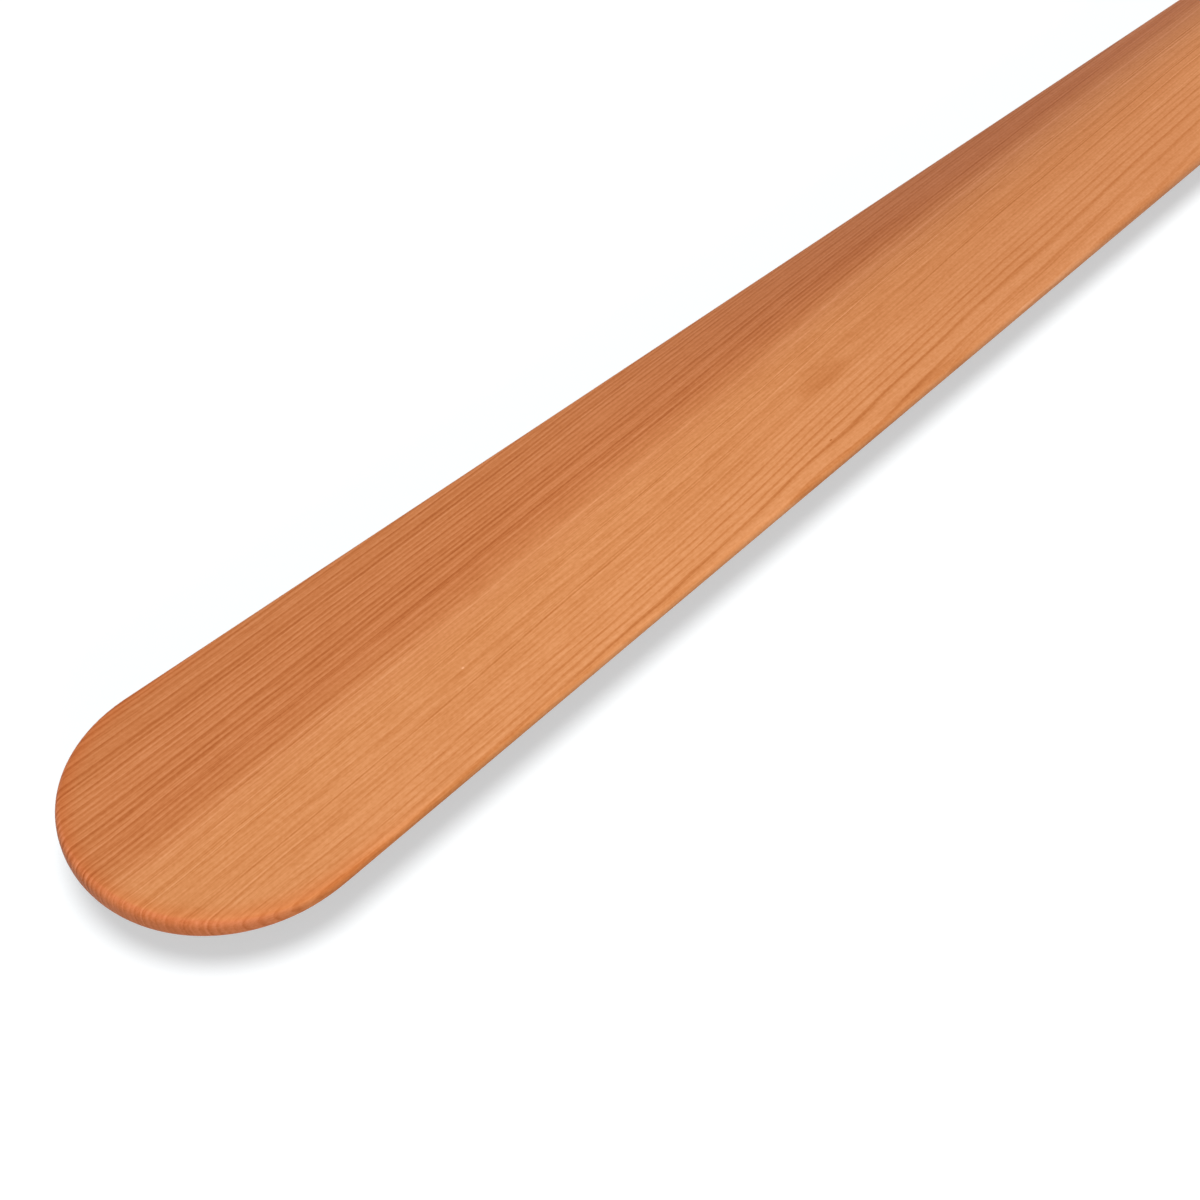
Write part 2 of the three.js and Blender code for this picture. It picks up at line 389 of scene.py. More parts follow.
    def _rings(self, s: Shader, place: Wire, far: Wire) -> tuple[Wire, Wire]:
        """Return how dark the rings' late wood is, and how light the early wood of each is, about 0."""
        middle = ((place - self.middle_at) / self.middle_spread).apply("TANH") * self.middle_rings
        edge = ((place - self.edge_at) / self.edge_spread).apply("TANH") * self.edge_rings
        uneven = s.noise(place / self.uneven.across, far / self.uneven.along, self.seed, self.uneven.detail)
        phase = place * self.rings_per_mm + middle + edge + uneven * self.uneven.share + self.first_ring
        share = phase.apply("FRACT")
        even = share.between(*self.even_rise) * share.between(*self.even_fall)
        thin = share.between(*self.thin_rise) * share.between(*self.thin_fall) * self.thin_depth
        late = even + (thin - even) * place.between(*self.thin_span)
        ring = phase.apply("FLOOR") + self.seed
        depth = s.random(ring) * (1.0 - self.weakest_ring) + self.weakest_ring
        fade = self.fade.noise(s, far, place, self.fade.slice)
        return late * depth * (fade * self.fade.share + 1.0), s.random(ring + self.early_draw) - 0.5

    def _thread(self, s: Shader, place: Wire, far: Wire) -> Wire:
        """Return the thin light and dark threads that run a long way with the grain, between -1 and 1."""
        chance = s.random((place / self.thread_width).apply("FLOOR") + self.seed + self.thread_draw)
        light = chance.between(1.0 - self.thread_chance, 1.0)
        dark = chance.between(self.thread_chance, 0.0)
        threads = self.threads.noise(s, far, place, self.seed + self.threads.slice)
        return (light - dark) * threads.between(*self.thread_span)

    def _strength(self, place: Wire, along: Wire, end_grain: Wire) -> Wire:
        """Return how strongly the lines show: most on the far side and in the end grain."""
        strong = (place.between(*self.middle_span) * self.middle_strength
                  + place.between(*self.far_span) * self.far_strength
                  + place.between(*self.near_span) * along.between(*self.near_along) * self.near_strength
                  + self.least_strength)
        return strong * (1.0 - along.between(*self.root_along) * self.root_loss + end_grain * self.end_gain)

    def _colour(self, s: Shader, tone: Wire, along: Wire, across: Wire, end_grain: Wire) -> NodeSocket:
        """Return the wood's colour before its lines, with painted shade at the tip's rim, towards the root and
        on the far side, and a painted sheen in the end grain's colour.

        Args:
            s: the material's graph.
            tone: the place among the rings, with the sway of the border between the golden and the red side.
            along: the place along the blade, from its tip.
            across: the place across the blade.
            end_grain: 1 where the surface cuts the grain's ends, where the end grain's colour also paints a
                sheen.

        Returns:
            The colour's socket.
        """
        wood = s.mix(tone.between(*self.red_span), self.golden, self.red)
        ahead = (1.0 - along / self.tip_length).apply("MAXIMUM", 0.0)
        aside = across.apply("ABSOLUTE") / self.half_width
        inside = 1.0 - (ahead * ahead + aside * aside).apply("SQRT")
        rim = inside.between(*self.rim_inside) * along.between(*self.rim_along)
        # painted shade: a darker, redder band along the tip's outline
        wood = s.mix(rim, wood, s.tinted(wood, self.oiled_rim))
        rootward = along.between(*self.root_along)
        # painted shade: darker towards the root
        wood = s.mix(rootward, wood, s.tinted(wood, self.painted_root_falloff))
        # painted shade and sheen on the far side, towards the root
        wood = s.mix(rootward * across.between(*self.painted_far_shade_across), wood, s.tinted(wood, self.painted_far_shade))
        # the end grain's colour, partly a painted sheen on the tip's rim
        return s.mix(end_grain, wood, self.end_grain)

    def build(self) -> Material:
        """Return the material."""
        s = Shader(self.name)
        x, y, z = s.place()
        along = x * self.flip + self.half_length
        across = y * self.flip
        up = z - self.axis_height
        far = along + self.seed
        facing = s.split(s.node("ShaderNodeTexCoord").outputs["Normal"])[0]
        end_grain = facing.apply("ABSOLUTE").between(*self.end_facing)

        place = self._ring_place(s, far, along, across, up)
        lines, early = self._rings(s, place, far)
        calm = place.between(*self.calm_span) * along.between(*self.calm_along)
        streak = self.streak.noise(s, far, place, self.seed) * (1.0 - calm * self.calm_streak)
        wide = self.wide.noise(s, far, place, self.seed + self.wide.slice)
        fibre, mottle, cloud = (pattern.noise(s, far, across, up / pattern.across)
                                for pattern in (self.fibre, self.mottle, self.cloud))
        dark = (lines * self.late_dark - self.late_mean + streak * self.streak.share
                - early * self.early_light)
        light = (1.0 - dark * self._strength(place, along, end_grain)
                 + fibre * (self.fibre.share - calm * self.calm_fibre) + mottle * self.mottle.share
                 + wide * self.wide.share + cloud * self.cloud.share
                 + self.glint.light_at(place) + self.pair.light_at(place)
                 + self._thread(s, place, far) * self.threads.share)
        for mark in self.marks:
            gone = ((along - mark.along) / mark.length) ** 2.0 + ((across - mark.across) / mark.width) ** 2.0
            light = light + gone.between(1.0, 0.0) * mark.light
        light = light.apply("MAXIMUM", self.darkest)

        wood = self._colour(s, place + wide * self.red_sway, along, across, end_grain)
        wood = s.tinted(wood, s.vector(light, light ** self.green_fall, light ** self.blue_fall))
        return s.finish({
            "Base Color": wood, "Roughness": self.roughness + fibre * self.fibre_roughness,
            "Normal": s.bump(fibre * 0.5 - lines * 0.5, self.relief * MM),
            "IOR": self.refraction, "Specular IOR Level": self.specular,
        })


@dataclass(frozen=True)
class Carbon:
    """Twill-woven carbon fibre under clear gloss resin, wrapped round a tube. Lengths are in millimetres.

    A tow's threads are noise, scaled by the millimetre along the tube and by the radian round it.
    """

    name: str
    axis_height: float
    tows_round: int = 48
    tow_length: float = 2.1
    first_row: int = 1000
    twill_repeat: int = 4
    over_span: Span = (0.49, 0.51)
    warp: Colour = (0.006, 0.006, 0.007)
    weft: Colour = (0.026, 0.027, 0.029)
    warp_threads: Span = (0.4, 120.0)
    weft_threads: Span = (7.0, 6.0)
    least_light: float = 0.6
    swell_light: float = 0.5
    thread_light: float = 0.8
    relief: float = 0.06
    roughness: float = 0.38
    thread_roughness: float = 0.1
    coat: float = 0.7
    coat_roughness: float = 0.06
    specular: float = 0.2

    def build(self) -> Material:
        """Return the material."""
        s = Shader(self.name)
        x, y, z = s.place()
        angle = y.apply("ARCTAN2", z - self.axis_height)
        round_tube = angle * (self.tows_round / (2 * math.pi)) + self.tows_round
        down_tube = x / self.tow_length + self.first_row
        column, row = round_tube.apply("FLOOR"), down_tube.apply("FLOOR")
        over = ((column + row) / self.twill_repeat).apply("FRACT").between(*self.over_span, False)
        swell_round = (round_tube.apply("FRACT") * math.pi).apply("SINE")
        swell_down = (down_tube.apply("FRACT") * math.pi).apply("SINE")
        height = swell_round * (1.0 - over) + swell_down * over
        warp_threads, weft_threads = (s.noise(x * per_mm, angle * per_radian, 0.0, 1.0)
                                      for per_mm, per_radian in (self.warp_threads, self.weft_threads))
        threads = warp_threads * (1.0 - over) + weft_threads * over
        shade = height * self.swell_light + threads * self.thread_light + self.least_light
        colour = s.tinted(s.mix(over, self.warp, self.weft), s.vector(shade, shade, shade))
        return s.finish({
            "Base Color": colour, "Roughness": self.roughness + threads * self.thread_roughness,
            "Normal": s.bump(height, self.relief * MM), "Coat Weight": self.coat,
            "Coat Roughness": self.coat_roughness, "Specular IOR Level": self.specular,
        })


@dataclass(frozen=True)
class SpringSteel:
    """Bright stainless strip, drawn and tumbled, with faint lines along it. Lengths are in millimetres."""

    name: str
    colour: Colour = (0.56, 0.56, 0.57)
    drawn_along: float = 6.0
    drawn_across: float = 0.12
    drawn_light: float = 0.12
    drawn_roughness: float = 0.1
    scuff_size: float = 0.8
    scuff_roughness: float = 0.14
    roughness: float = 0.26
    relief: float = 0.01

    def build(self) -> Material:
        """Return the material."""
        s = Shader(self.name)
        x, y, z = s.place()
        drawn = s.noise(x / self.drawn_along, y / self.drawn_across, z / self.drawn_across, 2.0)
        scuff = s.noise(x / self.scuff_size, y / self.scuff_size, z / self.scuff_size, 3.0)
        shade = drawn * self.drawn_light + 1.0
        roughness = self.roughness + drawn * self.drawn_roughness + scuff * self.scuff_roughness
        return s.finish({
            "Base Color": s.tinted(self.colour, s.vector(shade, shade, shade)), "Metallic": 1.0,
            "Roughness": roughness, "Normal": s.bump(drawn, self.relief * MM),
        })


@dataclass(frozen=True)
class Foam:
    """Closed-cell foam, cut across its cells. Lengths are in millimetres."""

    name: str
    cell: float = 0.7
    wall_span: Span = (0.14, 0.02)
    colour: Colour = (0.030, 0.031, 0.034)
    wall: Colour = (0.085, 0.086, 0.090)
    relief: float = 0.15
    roughness: float = 0.92

    def build(self) -> Material:
        """Return the material."""
        s = Shader(self.name)
        sockets = {"Vector": s.vector(*s.place()), "Scale": 1 / self.cell}
        edge = s.wire("ShaderNodeTexVoronoi", {"feature": "DISTANCE_TO_EDGE"}, sockets, "Distance")
        walls = edge.between(*self.wall_span)
        return s.finish({
            "Base Color": s.mix(walls, self.colour, self.wall), "Roughness": self.roughness,
            "Normal": s.bump(walls, self.relief * MM),
        })


@dataclass(frozen=True)
class Table:
    """The white table top: it takes the paddle's shadow, and glows a little so that the shadow stays pale.

    The rays that light the paddle meet a darker table, so that its underside isn't lit too brightly.
    """

    name: str = "white_table"
    seen_share: float = 0.66
    tint: Colour = (0.955, 0.985, 1.0)
    glow: float = 0.475
    unseen_share: float = 0.24

    def build(self) -> Material:
        """Return the material."""
        s = Shader(self.name)
        seen = s.background_rays()
        shadowed = s.node("ShaderNodeBsdfDiffuse", None, {
            "Color": (*(share * self.seen_share for share in self.tint), 1.0)})
        glow = s.node("ShaderNodeEmission", None, {"Color": (*self.tint, 1.0), "Strength": self.glow})
        bright = s.node("ShaderNodeAddShader", None, {0: shadowed.outputs[0], 1: glow.outputs[0]})
        plain = s.node("ShaderNodeBsdfDiffuse", None, {"Color": (*[self.unseen_share] * 3, 1.0)})
        table = s.node("ShaderNodeMixShader", None, {0: seen, 1: plain.outputs[0], 2: bright.outputs[0]})
        s.node("ShaderNodeOutputMaterial", None, {"Surface": table.outputs[0]})
        return s.material


@dataclass(frozen=True)
class Bend:
    """How a springy piece crosses a joint: it keeps to its body up to start, and to the other past end."""

    other: Body
    start: Point
    end: Point


def settle(piece: Object, body: Body, slot: Slot, *nodes: str, bend: Bend | None = None) -> Object:
    """Seat a finished piece.

    Args:
        piece: the piece.
        body: the body it rides on.
        slot: not used.
        nodes: the frame's nodes that it stands for.
        bend: where it would bend across a joint, if it does; a piece given one only keeps its place baked in,
            instead of being hung on its body.

    Returns:
        The piece.
    """
    if bend:
        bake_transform(piece)
    else:
        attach(piece, body.value)
    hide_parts(*nodes)
    log.info("%s: %d faces, on %s", piece.name, len(piece.data.polygons), body.value)
    return piece


def linked(name: str, data: Any) -> Object:
    """Make an object of a mesh, a lamp or a camera, and link it into the scene."""
    made = bpy.data.objects.new(name, data)
    bpy.context.scene.collection.objects.link(made)
    return made


def evaluated(source: Object) -> Mesh:
    """Return the plain mesh that an object's modifiers give it."""
    return bpy.data.meshes.new_from_object(source.evaluated_get(bpy.context.evaluated_depsgraph_get()))


def new_piece(name: str, mesh: Mesh, material: Material, sharp_angle: float) -> Object:
    """Make an object of a mesh, with one material and smooth faces between its sharp edges."""
    mesh.materials.clear()
    mesh.materials.append(material)
    mesh.polygons.foreach_set("use_smooth", [True] * len(mesh.polygons))
    mesh.set_sharp_from_angle(angle=sharp_angle)
    return linked(name, mesh)


def turned_mesh(name: str, profile: Sequence[tuple[float, float]], sides: int) -> Mesh:
    """Turn a profile round the Z axis.

    Args:
        name: the mesh's name.
        profile: points of radius and height, which close on themselves, or start and end on the axis.
        sides: how many sides the turned body has.

    Returns:
        A closed mesh whose faces point outwards.
    """
    shape = bmesh.new()
    rings = []
    for radius, height in profile:
        angles = [2 * math.pi * step / sides for step in range(sides if radius > 0 else 1)]
        rings.append([shape.verts.new((radius * math.cos(a), radius * math.sin(a), height)) for a in angles])
    for lower, upper in zip(rings, rings[1:] + rings[:1]):
        if len(lower) == 1 and len(upper) == 1:
            continue
        for side in range(sides):
            following = (side + 1) % sides
            corners = [lower[side % len(lower)], lower[following % len(lower)],
                       upper[following % len(upper)], upper[side % len(upper)]]
            shape.faces.new(list(dict.fromkeys(corners)))
    bmesh.ops.recalc_face_normals(shape, faces=shape.faces)
    mesh = bpy.data.meshes.new(name)
    shape.to_mesh(mesh)
    shape.free()
    return mesh


def joined(piece: Object, other: Object, operation: str) -> Object:
    """Add another body to a piece by UNION, or cut it out by DIFFERENCE, and return the piece."""
    modifier = piece.modifiers.new("join", "BOOLEAN")
    modifier.operation, modifier.object, modifier.solver = operation, other, "EXACT"
    shaped = evaluated(piece)
    piece.modifiers.clear()
    piece.data = shaped
    bpy.data.objects.remove(other)
    return piece


@dataclass
class PaddleHalf:
    """One half of the paddle: blade, shoulder, loom and tenon, as one plank."""

    name: str
    body: Body
    flip: float
    tenon_radius: float
    half_length: float
    tip_half_width: float
    axis_height: float
    shoulder_x: float
    tenon_x: float
    blade_length: float = 830 * MM
    root_half_width: float = 24.4 * MM
    tip_curve_length: float = 47 * MM
    tip_curve_power: float = 2.02
    tip_half_thickness: float = 4.2 * MM
    root_half_thickness: float = 12.2 * MM
    thickness_power: float = 1.4
    tip_rim_radius: float = 4.0 * MM
    edge_radius: float = 1.6 * MM
    edge_squareness: float = 2.1
    tip_squareness: float = 2.8
    tip_square_span: Span = (0.0, 0.3)
    rim_reach_share: float = 0.85
    least_level: float = 1e-5
    least_slope: float = 1e-3
    root_edge_radius: float = 6.5 * MM
    edge_swell_power: float = 3.0
    loom_half_width: float = 19 * MM
    loom_corner_radius: float = 12 * MM
    shoulder_length: float = 46 * MM
    rounding_length: float = 70 * MM
    round_length: float = 4 * MM
    loom_side_turn: float = 1 / 9
    loom_top_turn: float = 7 / 9
    chamfer: float = 0.5 * MM
    around: int = 128
    tip_rows: int = 44
    tip_row_power: float = 3.0
    body_rows: int = 250
    end_rows: int = 10
    sharp_angle: float = math.radians(35)

    def _named(self, graph: Graph, entry: Node, names: Iterable[str]) -> Sizes:
        """Give the tree an input for each named size and return the inputs' wires."""
        for name in names:
            graph.tree.interface.new_socket(name, in_out="INPUT", socket_type="NodeSocketFloat")
        return {name: Wire(graph, entry.outputs[name]) for name in names}

    def _depth(self, size: Sizes, reach: Wire, ahead: Wire, across: Wire) -> Wire:
        """Return how far a point of the blade lies inside its outline, seen from above."""
        power = self.tip_curve_power
        aside = (across.apply("ABSOLUTE") / reach).apply("MINIMUM", 1.0)
        level = ((ahead ** power + aside ** power) ** (1 / power)).apply("MAXIMUM", self.least_level)
        slope_along = (ahead / level) ** (power - 1) / size["tip_curve_length"]
        slope_across = (aside / level) ** (power - 1) / reach
        slope = (slope_along * slope_along + slope_across * slope_across).apply("SQRT")
        depth = (1.0 - level).apply("MAXIMUM", 0.0) / slope.apply("MAXIMUM", self.least_slope)
        return depth.apply("MINIMUM", reach)

    def _half_thickness(self, size: Sizes, reach: Wire, ahead: Wire, along: Wire, depth: Wire) -> Wire:
        """Return the blade's half thickness: a lens that ends in a rim with softly squared corners."""
        share = (along / size["blade_length"]).between(0.0, 1.0, False)
        crown, side = size["tip_half_thickness"], size["edge_radius"]
        crown = crown + (size["root_half_thickness"] - crown) * share ** self.thickness_power
        side = side + (size["root_edge_radius"] - side) * share ** self.edge_swell_power
        rim = side + (size["tip_rim_radius"] - side) * ahead
        lens = rim + (crown - rim) * 2.0 * (depth / reach) * (1.0 - depth / (reach * 2.0))
        tip_share = ahead.between(*self.tip_square_span)
        square = self.edge_squareness + (self.tip_squareness - self.edge_squareness) * tip_share
        outward = (1.0 - depth / (rim * self.rim_reach_share)).apply("MAXIMUM", 0.0)
        return lens * (1.0 - outward ** square) ** (1.0 / square)

    def _loom(self, size: Sizes, cosine: Wire, sine: Wire) -> tuple[Wire, Wire]:
        """Return the loom's section, a rounded rectangle, at the angle of the given cosine and sine."""
        turn = sine.apply("ABSOLUTE").apply("ARCTAN2", cosine.apply("ABSOLUTE")) / (math.pi / 2)
        corner = turn.between(self.loom_side_turn, self.loom_top_turn, False) * (math.pi / 2)
        radius = size["loom_corner_radius"]
        across = (size["loom_half_width"] - radius) * turn.between(1.0, self.loom_top_turn, False)
        up = (size["axis_height"] - radius) * turn.between(0.0, self.loom_side_turn, False)
        across = (across + radius * corner.apply("COSINE")) * cosine.apply("SIGN")
        up = (up + radius * corner.apply("SINE")) * sine.apply("SIGN")
        return across, up

    def _ending(self, size: Sizes, share: Wire) -> tuple[Wire, Wire]:
        """Return the place and radius at a share of the way over the shoulder and the tenon.

        The way has five equal legs: a chamfer, the shoulder's face, the tenon's side, a chamfer and its end.
        """
        chamfer, tenon, height = size["chamfer"], size["tenon_radius"], size["axis_height"]
        first, face, side, last, end = (share.between(leg / 5, (leg + 1) / 5, False) for leg in range(5))
        place = (first * chamfer - size["shoulder_x"] - chamfer
                 + (size["shoulder_x"] - size["tenon_x"] - chamfer) * side + last * chamfer)
        radius = (height - first * chamfer - (height - chamfer - tenon) * face
                  - last * chamfer - (tenon - chamfer) * end)
        return place, radius

    def _tree(self, material: Material) -> NodeTree:
        """Build the geometry tree that bends a flat grid into the half, with a named input for each size."""
        tree = bpy.data.node_groups.new(self.name + "_shape", "GeometryNodeTree")
        graph = Graph(tree)
        tree.interface.new_socket("Geometry", in_out="OUTPUT", socket_type="NodeSocketGeometry")
        entry = graph.node("NodeGroupInput")
        size = self._named(graph, entry, (
            "half_length", "blade_length", "tip_half_width", "root_half_width", "tip_curve_length",
            "tip_half_thickness", "root_half_thickness", "tip_rim_radius", "edge_radius", "root_edge_radius",
            "loom_half_width", "loom_corner_radius", "shoulder_length", "rounding_length", "round_length",
            "axis_height", "shoulder_x", "tenon_x", "tenon_radius", "chamfer", "flip",
        ))
        rows = self.tip_rows + self.body_rows + self.end_rows
        grid = graph.node("GeometryNodeMeshGrid", None, {
            "Size X": 1.0, "Size Y": 1.0, "Vertices X": rows + 1, "Vertices Y": self.around + 1})
        grid_x, grid_y, _ = graph.split(graph.node("GeometryNodeInputPosition").outputs[0])
        row = (grid_x + 0.5) * rows
        angle = (grid_y + 0.5) * (2 * math.pi)
        cosine, sine = angle.apply("COSINE"), angle.apply("SINE")

        tip_length = size["tip_curve_length"]
        tip = tip_length * row.between(0.0, self.tip_rows, False) ** self.tip_row_power
        body_end = size["half_length"] - size["shoulder_x"] - size["chamfer"]
        straight = row.between(self.tip_rows, self.tip_rows + self.body_rows, False)
        along = tip + (body_end - tip_length) * straight

        slope = (size["tip_half_width"] - size["root_half_width"]) / (size["blade_length"] - tip_length)
        reach = size["tip_half_width"] - slope * (along - tip_length)
        ahead = (1.0 - along / tip_length).apply("MAXIMUM", 0.0)
        power = self.tip_curve_power
        blade_y = reach * (1.0 - ahead ** power) ** (1 / power) * cosine
        depth = self._depth(size, reach, ahead, blade_y)
        law = (row, along, cosine, sine, blade_y, depth, reach, ahead)
        return self._finish_tree(graph, size, grid, material, law)

    def _finish_tree(self, graph: Graph, size: Sizes, grid: Node,
                     material: Material, law: tuple[Wire, ...]) -> NodeTree:
        """Mix the blade's, the loom's and the tenon's sections, place the grid's points and close it."""
        row, along, cosine, sine, blade_y, depth, reach, ahead = law
        steep = 1e4
        face = (sine * steep).apply("MAXIMUM", -1.0).apply("MINIMUM", 1.0)
        blade_z = self._half_thickness(size, reach, ahead, along, depth) * face
        loom_y, loom_z = self._loom(size, cosine, sine)
        shoulder = (along - size["blade_length"]) / size["shoulder_length"]
        loom_share = shoulder.between(0.0, 1.0)
        round_from = size["half_length"] - size["shoulder_x"] - size["round_length"]
        round_share = ((along - round_from) / size["rounding_length"] + 1.0).between(0.0, 1.0)
        radius = size["axis_height"]
        grip_y = loom_y + (cosine * radius - loom_y) * round_share
        grip_z = loom_z + (sine * radius - loom_z) * round_share
        body_y = blade_y + (grip_y - blade_y) * loom_share
        body_z = blade_z + (grip_z - blade_z) * loom_share
        first_end_row = self.tip_rows + self.body_rows
        ending = row.between(first_end_row, first_end_row + self.end_rows, False)
        end_place, end_radius = self._ending(size, ending)
        at_end = row.apply("GREATER_THAN", first_end_row + 0.5)
        x = (along - size["half_length"]) * (1.0 - at_end) + end_place * at_end
        y = body_y * (1.0 - at_end) + cosine * end_radius * at_end
        z = body_z * (1.0 - at_end) + sine * end_radius * at_end
        place = graph.vector(x * size["flip"], y * size["flip"], z + size["axis_height"])
        shape = grid.outputs["Mesh"]
        for kind, sockets in (
            ("GeometryNodeSetPosition", {"Position": place}),
            ("GeometryNodeMergeByDistance", {"Distance": WELD}),
            ("GeometryNodeRealizeInstances", {}),
            ("GeometryNodeSetMaterial", {"Material": material}),
        ):
            shape = graph.node(kind, None, {"Geometry": shape, **sockets}).outputs[0]
        graph.node("NodeGroupOutput", None, {"Geometry": shape})
        return graph.tree

    def build(self, finish: Cedar) -> Object:
        """Make the half of the given wood, as a plain mesh, and seat it."""
        material = finish.build()
        carrier = linked(self.name + "_carrier", bpy.data.meshes.new(self.name + "_carrier"))
        modifier = carrier.modifiers.new("shape", "NODES")
        modifier.node_group = self._tree(material)
        for item in modifier.node_group.interface.items_tree:
            if item.in_out == "INPUT":
                modifier[item.identifier] = float(getattr(self, item.name))
        shaped = evaluated(carrier)
        bpy.data.objects.remove(carrier)
        shape = bmesh.new()
        shape.from_mesh(shaped)
        bmesh.ops.recalc_face_normals(shape, faces=shape.faces)
        shape.to_mesh(shaped)
        shape.free()
        piece = new_piece(self.name, shaped, material, self.sharp_angle)
        return settle(piece, self.body, Slot.CEDAR, self.body.value + "_half")


@dataclass
class Ferrule:
    """The tube ferrule: sleeve, spigot, collar, snap button and plug.

    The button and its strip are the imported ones, with the button drawn in to a core under a domed crown.
    """

    axis_height: float
    button_x: float
    sides: int = 144
    hole_sides: int = 64
    plug_edge_steps: int = 4
    sharp_angle: float = math.radians(30)
    plug_sharp_angle: float = math.radians(50)
    chamfer: float = 0.5 * MM
    button_radius: float = 3.75 * MM
    hole_play: float = 0.25 * MM
    crown_rise: float = 2.0 * MM
    crown_power: float = 0.62
    crown_steps: int = 18
    pad_height: float = 11.5 * MM
    core_share: float = 0.85
    still_leg: float = 2.5 * MM
    pressed_leg: float = 9.5 * MM

    def _along(self) -> Matrix:
        """Return the turn that lays a turned body's axis along X at the paddle's height."""
        return Matrix.Translation((0, 0, self.axis_height)) @ Matrix.Rotation(math.pi / 2, 4, "Y")

    def _outward(self) -> Matrix:
        """Return the turn that points a turned body's axis out of the tube's near side at the button."""
        middle = (self.button_x, 0, self.axis_height)
        return Matrix.Translation(middle) @ Matrix.Rotation(math.pi / 2, 4, "X")

    def tube(self, name: str, node: str, bore: float, body: Body, holed: bool, material: Material) -> Object:
        """Make one tube in the place of its node.

        Args:
            name: the piece's name.
            node: the node that it stands for, which gives its ends and radius.
            bore: its inner radius.
            body: the body it rides on.
            holed: whether the button's hole goes through its near wall.
            material: its finish.

        Returns:
            The finished piece.
        """
        low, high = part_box(node)
        radius, edge = (high.z - low.z) / 2, self.chamfer
        profile = [(bore, low.x), (radius - edge, low.x), (radius, low.x + edge),
                   (radius, high.x - edge), (radius - edge, high.x), (bore, high.x)]
        mesh = turned_mesh(name, profile, self.sides)
        mesh.transform(self._along())
        piece = new_piece(name, mesh, material, self.sharp_angle)
        if holed:
            hole, reach = self.button_radius + self.hole_play, 2 * radius
            cutter = turned_mesh("hole", [(0, 0), (hole, 0), (hole, reach), (0, reach)], self.hole_sides)
            cutter.transform(self._outward())
            piece = joined(piece, new_piece("hole", cutter, material, self.sharp_angle), "DIFFERENCE")
            piece.data.set_sharp_from_angle(angle=self.sharp_angle)
        return settle(piece, body, Slot.CARBON, node)

    def plug(self, material: Material) -> Object:
        """Make the foam plug in the spigot's inner end."""
        low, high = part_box("spigot_plug")
        radius, edge = (high.z - low.z) / 2, self.chamfer
        steps = self.plug_edge_steps
        arc = [(radius - edge + edge * math.cos(a), edge * math.sin(a))
               for a in (math.pi / 2 * step / steps for step in range(steps + 1))]
        lower = [(out, low.x + edge - rise) for out, rise in reversed(arc)]
        upper = [(out, high.x - edge + rise) for out, rise in arc]
        mesh = turned_mesh("foam_plug", [(0, low.x), *lower, *upper, (0, high.x)], self.sides)
        mesh.transform(self._along())
        piece = new_piece("foam_plug", mesh, material, self.plug_sharp_angle)
        return settle(piece, Body.RIGHT, Slot.FOAM, "spigot_plug")

    def button(self, material: Material) -> Object:
        """Make the snap button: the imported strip, with a domed crown over its button.

        The strip is a spring: its far leg stays on the spigot's wall while the button's leg is pressed in.
        """
        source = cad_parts["snap_button"].data.copy()
        shape = bmesh.new()
        shape.from_mesh(source)
        bmesh.ops.remove_doubles(shape, verts=shape.verts, dist=WELD)
        for vertex in shape.verts:
            out = -vertex.co.y - self.pad_height
            if out > 0:
                vertex.co.x = self.button_x + (vertex.co.x - self.button_x) * self.core_share
                vertex.co.z = self.axis_height + (vertex.co.z - self.axis_height) * self.core_share
                vertex.co.y = -self.pad_height - out * self.core_share
        shape.to_mesh(source)
        shape.free()
        top, radius = -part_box("snap_button")[0].y, self.button_radius
        angles = [math.pi / 2 * step / self.crown_steps for step in range(self.crown_steps)]
        dome = [(radius * math.cos(angle) ** self.crown_power,
                 top - self.crown_rise * (1 - math.sin(angle) ** self.crown_power)) for angle in angles]
        foot = self.pad_height - self.chamfer / 2
        crown = turned_mesh("crown", [(0, foot), (radius, foot), *dome, (0, top)], self.sides)
        crown.transform(self._outward())
        strip = new_piece("snap_button_steel", source, material, self.sharp_angle)
        piece = joined(strip, new_piece("crown", crown, material, self.sharp_angle), "UNION")
        piece.data.set_sharp_from_angle(angle=self.sharp_angle)
        bend = Bend(Body.BUTTON, (self.button_x, self.still_leg, self.axis_height),
                    (self.button_x, -self.pressed_leg, self.axis_height))
        return settle(piece, Body.RIGHT, Slot.STEEL, "snap_button", bend=bend)


@dataclass(frozen=True)
class Lamp:
    """A far, soft lamp, tilted from straight above towards a heading. Angles are in degrees."""

    name: str
    strength: float
    width: float
    tilt: float
    heading: float

    def light(self) -> None:
        """Hang the lamp."""
        data = bpy.data.lights.new(self.name, "SUN")
        data.energy, data.angle = self.strength, math.radians(self.width)
        linked(self.name, data).rotation_euler = (0, math.radians(self.tilt), math.radians(self.heading))


